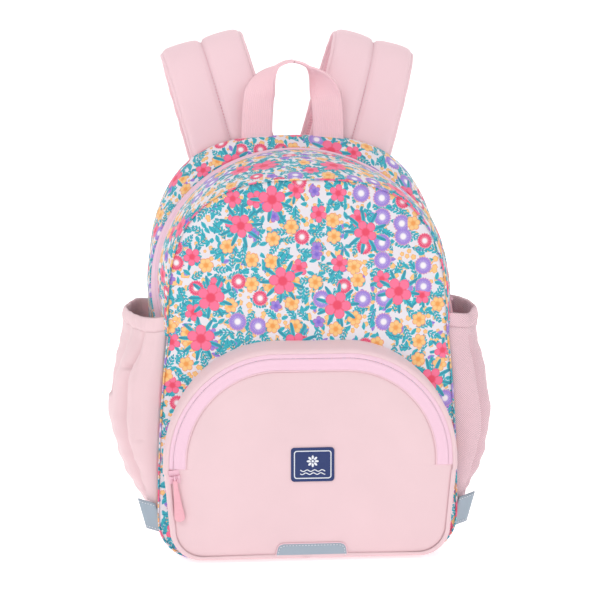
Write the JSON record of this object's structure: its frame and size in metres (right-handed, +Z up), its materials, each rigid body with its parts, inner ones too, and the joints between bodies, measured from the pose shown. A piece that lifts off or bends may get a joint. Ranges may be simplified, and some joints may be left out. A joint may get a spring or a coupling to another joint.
{
  "type": "school backpack",
  "caption": "Small school backpack with a zipped front flap, a zipped front pocket, two side pockets, a carry handle and padded shoulder straps.",
  "frame": {"origin": "centre of the flat base, on the floor", "axes": "+Z up, -Y towards the front pocket, +X to the right seen from the front"},
  "size_m": [0.289, 0.2226, 0.4034],
  "materials": {
    "print_cloth": "floral print on woven polyester",
    "plain_cloth": "plain woven polyester",
    "mesh_cloth": "open knitted mesh",
    "back_mesh": "padded air mesh",
    "zip_tape": "ribbed zip tape with a covered coil",
    "piping": "covered piping cord",
    "strap_cloth": "foam covered with woven cloth",
    "handle_webbing": "woven webbing",
    "webbing": "woven webbing",
    "reflective_tape": "reflective tape with stitching",
    "label": "moulded soft label",
    "board": "stiff sheet",
    "buckle_plastic": "moulded acetal",
    "slider_metal": "painted die casting",
    "pull_rubber": "moulded soft pull"
  },
  "bodies": {
    "bag": {"back_board": "board", "back_pad_left": "plain_cloth", "back_pad_low": "plain_cloth", "back_pad_right": "plain_cloth", "back_panel": "back_mesh", "base_panel": "plain_cloth", "bottom_reflector": "reflective_tape", "corner_gusset_left": "print_cloth", "corner_gusset_right": "print_cloth", "front_lower_panel": "print_cloth", "lower_webbing_left": "webbing", "lower_webbing_right": "webbing", "pocket_gusset": "plain_cloth", "pocket_lower_panel": "plain_cloth", "pocket_zip_coil_outer": "zip_tape", "pocket_zip_end_left": "zip_tape", "pocket_zip_end_right": "zip_tape", "pocket_zip_tape_outer": "zip_tape", "pouch_elastic_left": "plain_cloth", "pouch_elastic_right": "plain_cloth", "rear_gusset": "print_cloth", "rear_zip_coil": "zip_tape", "rear_zip_tape": "zip_tape", "reflective_tab_left": "reflective_tape", "reflective_tab_right": "reflective_tape", "side_panel_left": "print_cloth", "side_panel_right": "print_cloth", "side_pouch_left": "plain_cloth", "side_pouch_right": "mesh_cloth", "strap_front_left": "strap_cloth", "strap_front_right": "strap_cloth", "strap_wing_left": "plain_cloth", "strap_wing_right": "plain_cloth", "top_yoke": "plain_cloth", "zip_end_left": "zip_tape", "zip_end_right": "zip_tape"},
    "front_flap": {"front_gusset": "print_cloth", "front_zip_tape": "zip_tape", "front_zip_coil": "zip_tape", "front_panel": "print_cloth", "front_piping": "piping"},
    "pocket_flap": {"pocket_upper_panel": "plain_cloth", "pocket_zip_tape_inner": "zip_tape", "pocket_zip_coil_inner": "zip_tape", "pocket_piping": "piping", "label": "label"},
    "carry_handle": {"handle": "handle_webbing"},
    "left_strap": {"strap_left": "strap_cloth", "ladder_lock_left": "buckle_plastic"},
    "right_strap": {"strap_right": "strap_cloth", "ladder_lock_right": "buckle_plastic"},
    "main_zip_slider": {"main_slider": "slider_metal"},
    "main_zip_pull": {"main_pull": "pull_rubber"},
    "pocket_zip_slider": {"pocket_slider": "slider_metal"},
    "pocket_zip_pull": {"pocket_pull": "pull_rubber"}
  },
  "joints": [
    {"name": "flap_fold", "type": "hinge", "parent": "bag", "child": "front_flap", "pos_m": [0, -0.062, 0.172], "axis": [1, 0, 0], "range_deg": [0, 75]},
    {"name": "main_slider_travel", "type": "hinge", "parent": "bag", "child": "main_zip_slider", "pos_m": [0, -0.0105, 0.207], "axis": [0, -0.8829, 0.4695], "range_deg": [0, 204]},
    {"name": "main_pull_swing", "type": "hinge", "parent": "main_zip_slider", "child": "main_zip_pull", "pos_m": [0.11531, -0.02023, 0.19382], "axis": [-0.568, -0.6858, 0.4551], "range_deg": [0, 8]},
    {"name": "pocket_fold", "type": "hinge", "parent": "bag", "child": "pocket_flap", "pos_m": [0, -0.084, 0.063], "axis": [1, 0, 0], "range_deg": [0, 80]},
    {"name": "pocket_slider_travel", "type": "hinge", "parent": "bag", "child": "pocket_zip_slider", "pos_m": [-0.026, -0.084, 0.078], "axis": [0, 1, 0], "range_deg": [0, 95]},
    {"name": "pocket_pull_swing", "type": "hinge", "parent": "pocket_zip_slider", "child": "pocket_zip_pull", "pos_m": [-0.10441, -0.0882, 0.06837], "axis": [-0.9925, 0, -0.1219], "range_deg": [0, 150]},
    {"name": "handle_swing", "type": "hinge", "parent": "bag", "child": "carry_handle", "pos_m": [0, 0.058, 0.3176], "axis": [1, 0, 0], "range_deg": [0, 70]},
    {"name": "left_strap_swing", "type": "hinge", "parent": "bag", "child": "left_strap", "pos_m": [-0.07212, 0.1, 0.3952], "axis": [0.963, 0, 0.2696], "range_deg": [0, 25], "deforming": ["lower_webbing_left"]},
    {"name": "right_strap_swing", "type": "hinge", "parent": "bag", "child": "right_strap", "pos_m": [0.07212, 0.1, 0.3952], "axis": [0.963, 0, -0.2696], "range_deg": [0, 25], "deforming": ["lower_webbing_right"]}
  ]
}
